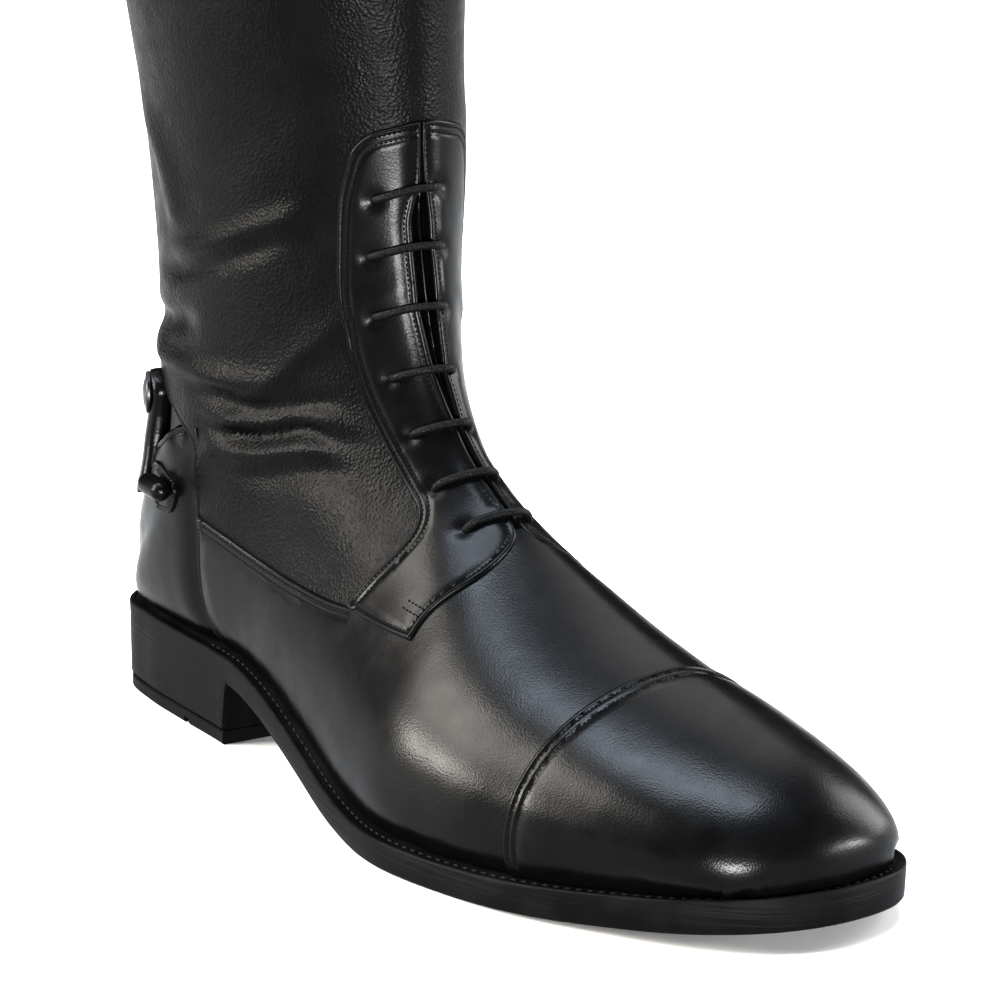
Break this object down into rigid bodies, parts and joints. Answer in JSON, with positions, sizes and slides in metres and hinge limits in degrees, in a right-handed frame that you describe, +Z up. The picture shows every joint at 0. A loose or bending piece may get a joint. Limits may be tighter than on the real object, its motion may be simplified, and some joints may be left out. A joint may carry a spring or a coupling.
{
  "type": "field boot",
  "caption": "Black leather field boot for the right foot: tall plain shaft with a rear zip, lace panel at the instep, straight toe cap and low-heeled rubber sole.",
  "frame": {"origin": "on the floor, at the middle of the boot's box seen from above", "axes": "+Z up the shaft, -Y towards the toe, -X to the wearer's right (the outer side of this right boot)"},
  "size_m": [0.109, 0.3124, 0.47],
  "materials": {
    "sole_rubber": "matte moulded rubber, dark grey",
    "welt_strip": "matte strip, black",
    "insole_board": "lined board, black",
    "grained_leather": "fine tumbled grain, satin black",
    "smooth_leather": "smooth calf, semi-gloss black",
    "tongue_leather": "smooth calf, black",
    "elastic_lace": "round woven elastic, black",
    "zip_tape": "woven tape with a moulded coil, black",
    "zip_metal": "darkened metal"
  },
  "bodies": {
    "boot": {"outsole": "sole_rubber", "heel_top_lift": "sole_rubber", "welt": "welt_strip", "insole": "insole_board", "upper": "grained_leather", "toe_cap": "smooth_leather", "heel_counter": "smooth_leather", "facing_lateral": "smooth_leather", "facing_medial": "smooth_leather", "tongue": "tongue_leather", "lace_bar_1": "elastic_lace", "lace_bar_2": "elastic_lace", "lace_bar_3": "elastic_lace", "lace_bar_4": "elastic_lace", "lace_bar_5": "elastic_lace", "lace_bar_6": "elastic_lace", "lace_bar_7": "elastic_lace", "zip_tape": "zip_tape", "zip_slider": "zip_metal", "guard_strap": "smooth_leather", "snap_cap": "zip_metal", "spur_rest_lateral": "smooth_leather", "spur_rest_medial": "smooth_leather"},
    "pull_tab": {"zip_pull_tab": "zip_metal"}
  },
  "joints": [
    {"name": "pull_tab_swing", "type": "hinge", "parent": "boot", "child": "pull_tab", "pos_m": [-0.00256, 0.15388, 0.44627], "axis": [1, 0, 0], "range_deg": [0, 165]}
  ]
}
